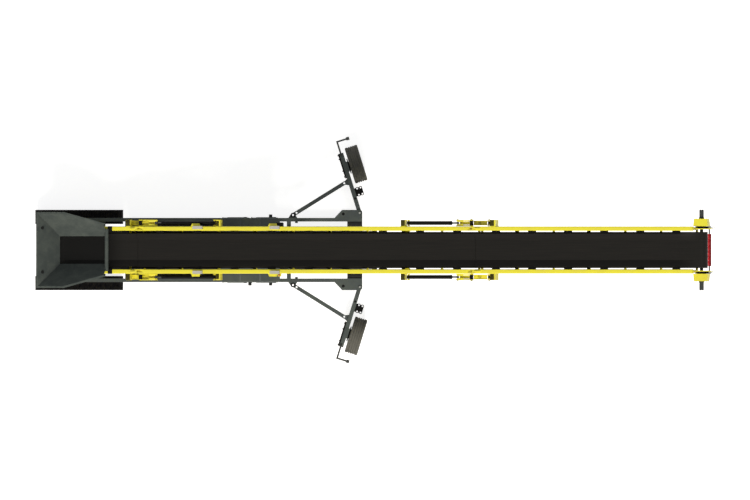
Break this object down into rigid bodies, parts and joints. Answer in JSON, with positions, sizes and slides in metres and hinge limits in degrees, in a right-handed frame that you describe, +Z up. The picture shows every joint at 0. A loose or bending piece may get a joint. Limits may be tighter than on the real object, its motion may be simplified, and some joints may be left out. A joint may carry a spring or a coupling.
{
  "type": "tracked radial stacker conveyor",
  "caption": "Tracked radial stacking conveyor with a feed hopper, folding lattice boom, troughed belt and swing-out radial wheels that piles loose aggregate",
  "frame": {"origin": "centre of the bounding box on the ground", "axes": "+X from the hopper to the discharge drum, +Y to the left, +Z up"},
  "size_m": [19.7116, 6.582, 7.33],
  "materials": {
    "belt_rubber": "matt black conveyor belting",
    "black_paint": "semi-gloss black enamel",
    "chrome_rod": "hard chrome",
    "dark_paint": "satin charcoal enamel",
    "drum_steel": "worn steel with rubber lagging",
    "engine_paint": "plain grey, hidden block",
    "galvanised": "zinc-plated steel",
    "grey_paint": "satin dark grey machine enamel",
    "motor_grey": "grey motor enamel",
    "pad_plastic": "off-white wear plastic",
    "pad_rubber": "black rubber",
    "red_paint": "red enamel and polyurethane",
    "rim_paint": "silver-grey wheel enamel",
    "track_steel": "dark worn track steel",
    "tyre_rubber": "matt tyre rubber",
    "yellow_paint": "gloss lemon-yellow machine enamel"
  },
  "bodies": {
    "undercarriage": {"undercarriage_frame": "dark_paint", "track_left": "track_steel", "track_right": "track_steel", "track_wheels": "dark_paint"},
    "chassis": {"chassis_frame": "grey_paint", "belly_plate": "dark_paint", "power_canopy": "grey_paint", "canopy_doors": "grey_paint", "radiator_grille": "dark_paint", "engine_block": "engine_paint", "side_boxes": "dark_paint"},
    "main": {"main_truss": "yellow_paint", "main_idlers": "dark_paint", "main_belt": "belt_rubber", "rest_pads": "pad_plastic", "saddle_plates": "yellow_paint", "control_box": "dark_paint", "stop_box": "yellow_paint", "stop_button": "red_paint"},
    "head": {"head_truss": "yellow_paint", "head_idlers": "dark_paint", "head_belt": "belt_rubber", "head_drum": "drum_steel", "head_bearings": "black_paint", "drive_covers": "yellow_paint", "drive_motors": "motor_grey", "belt_scraper": "red_paint", "lifting_eyes": "galvanised"},
    "tail": {"tail_frame": "yellow_paint", "tail_idlers": "dark_paint", "tail_belt": "belt_rubber", "tail_drum": "drum_steel", "hopper": "grey_paint", "hopper_pads": "pad_rubber"},
    "lift_barrels": {"lift_barrels": "black_paint"},
    "lift_rods": {"lift_rods": "chrome_rod"},
    "head_levers": {"head_levers": "yellow_paint"},
    "head_links": {"head_links": "yellow_paint"},
    "head_barrels": {"head_barrels": "black_paint"},
    "head_rods": {"head_rods": "chrome_rod"},
    "tail_levers": {"tail_levers": "yellow_paint"},
    "tail_links": {"tail_links": "yellow_paint"},
    "tail_barrels": {"tail_barrels": "black_paint"},
    "tail_rods": {"tail_rods": "chrome_rod"},
    "leg_left": {"leg_left": "grey_paint", "drilled_plate_left": "black_paint", "hub_drive_left": "dark_paint", "marker_arm_left": "black_paint"},
    "stay_left": {"stay_left": "grey_paint"},
    "wheel_left": {"tyre_left": "tyre_rubber", "rim_left": "rim_paint"},
    "leg_right": {"leg_right": "grey_paint", "drilled_plate_right": "black_paint", "hub_drive_right": "dark_paint", "marker_arm_right": "black_paint"},
    "stay_right": {"stay_right": "grey_paint"},
    "wheel_right": {"tyre_right": "tyre_rubber", "rim_right": "rim_paint"}
  },
  "joints": [
    {"name": "slew", "type": "hinge", "parent": "undercarriage", "child": "chassis", "pos_m": [-8.581, 0, 0.77], "axis": [0, 0, 1], "range_deg": [-90, 90]},
    {"name": "luff", "type": "hinge", "parent": "chassis", "child": "main", "pos_m": [-6.49359, 0, 1.72026], "axis": [0, 1, 0], "range_deg": [-4, 8]},
    {"name": "lift_barrel_pivot", "type": "hinge", "parent": "chassis", "child": "lift_barrels", "pos_m": [-2.501, 0, 1.18], "axis": [0, 1, 0], "range_deg": [-7.05, 13.82]},
    {"name": "lift_stroke", "type": "slide", "parent": "lift_barrels", "child": "lift_rods", "axis": [0.7772, 0, 0.6293], "range_m": [-0.38286, 0.19343]},
    {"name": "head_fold", "type": "hinge", "parent": "main", "child": "head", "pos_m": [2.85402, 0, 5.45127], "axis": [0, -1, 0], "range_deg": [0, 180]},
    {"name": "head_lever_pivot", "type": "hinge", "parent": "main", "child": "head_levers", "pos_m": [2.7964, 0, 5.29771], "axis": [0, -1, 0], "range_deg": [-0.57, 149.15]},
    {"name": "head_link_pivot", "type": "hinge", "parent": "head_levers", "child": "head_links", "pos_m": [2.39715, 0, 5.08153], "axis": [0, -1, 0], "range_deg": [-3.56, 0.57]},
    {"name": "head_barrel_pivot", "type": "hinge", "parent": "main", "child": "head_barrels", "pos_m": [0.97311, 0, 4.66707], "axis": [0, -1, 0], "range_deg": [-1.87, 0.57]},
    {"name": "head_stroke", "type": "slide", "parent": "head_barrels", "child": "head_rods", "axis": [0.9602, 0, 0.2794], "range_m": [-0.004, 0.87707]},
    {"name": "tail_fold", "type": "hinge", "parent": "main", "child": "tail", "pos_m": [-6.93854, 0, 2.45738], "axis": [0, 1, 0], "range_deg": [0, 95]},
    {"name": "tail_lever_pivot", "type": "hinge", "parent": "main", "child": "tail_levers", "pos_m": [-6.8049, 0, 2.3623], "axis": [0, 1, 0], "range_deg": [-0.57, 112.18]},
    {"name": "tail_link_pivot", "type": "hinge", "parent": "tail_levers", "child": "tail_links", "pos_m": [-6.35303, 0, 2.40633], "axis": [0, 1, 0], "range_deg": [-25.66, 0.57]},
    {"name": "tail_barrel_pivot", "type": "hinge", "parent": "main", "child": "tail_barrels", "pos_m": [-4.65188, 0, 2.94734], "axis": [0, 1, 0], "range_deg": [-7.08, 0.57]},
    {"name": "tail_stroke", "type": "slide", "parent": "tail_barrels", "child": "tail_rods", "axis": [-0.953, 0, -0.3031], "range_m": [-0.004, 0.71585]},
    {"name": "leg_swing_left", "type": "hinge", "parent": "chassis", "child": "leg_left", "pos_m": [-0.448, 1.073, 0.95], "axis": [0, 0, -1], "range_deg": [0, 107.24]},
    {"name": "stay_swing_left", "type": "hinge", "parent": "chassis", "child": "stay_left", "pos_m": [-2.382, 1.015, 0.95], "axis": [0, 0, -1], "range_deg": [0, 28]},
    {"name": "wheel_left_spin", "type": "hinge", "parent": "leg_left", "child": "wheel_left", "pos_m": [-0.5522, 2.49187, 0.538], "axis": [0.9551, 0.2964, 0], "continuous": true},
    {"name": "leg_swing_right", "type": "hinge", "parent": "chassis", "child": "leg_right", "pos_m": [-0.448, -1.073, 0.95], "axis": [0, 0, 1], "range_deg": [0, 107.24]},
    {"name": "stay_swing_right", "type": "hinge", "parent": "chassis", "child": "stay_right", "pos_m": [-2.382, -1.015, 0.95], "axis": [0, 0, 1], "range_deg": [0, 28]},
    {"name": "wheel_right_spin", "type": "hinge", "parent": "leg_right", "child": "wheel_right", "pos_m": [-0.5522, -2.49187, 0.538], "axis": [0.9551, -0.2964, 0], "continuous": true}
  ],
  "couplings": [
    {"joint": "lift_barrel_pivot", "follows": "luff", "ratio": 1.6919},
    {"joint": "lift_stroke", "follows": "luff", "m_per_rad": -2.7133},
    {"joint": "head_lever_pivot", "follows": "head_fold", "ratio": 0.82544},
    {"joint": "head_link_pivot", "follows": "head_fold", "ratio": -0.016586},
    {"joint": "head_barrel_pivot", "follows": "head_fold", "ratio": -0.0072183},
    {"joint": "head_stroke", "follows": "head_fold", "m_per_rad": 0.27791},
    {"joint": "tail_lever_pivot", "follows": "tail_fold", "ratio": 1.1749},
    {"joint": "tail_link_pivot", "follows": "tail_fold", "ratio": -0.26402},
    {"joint": "tail_barrel_pivot", "follows": "tail_fold", "ratio": -0.068452},
    {"joint": "tail_stroke", "follows": "tail_fold", "m_per_rad": 0.42933}
  ]
}
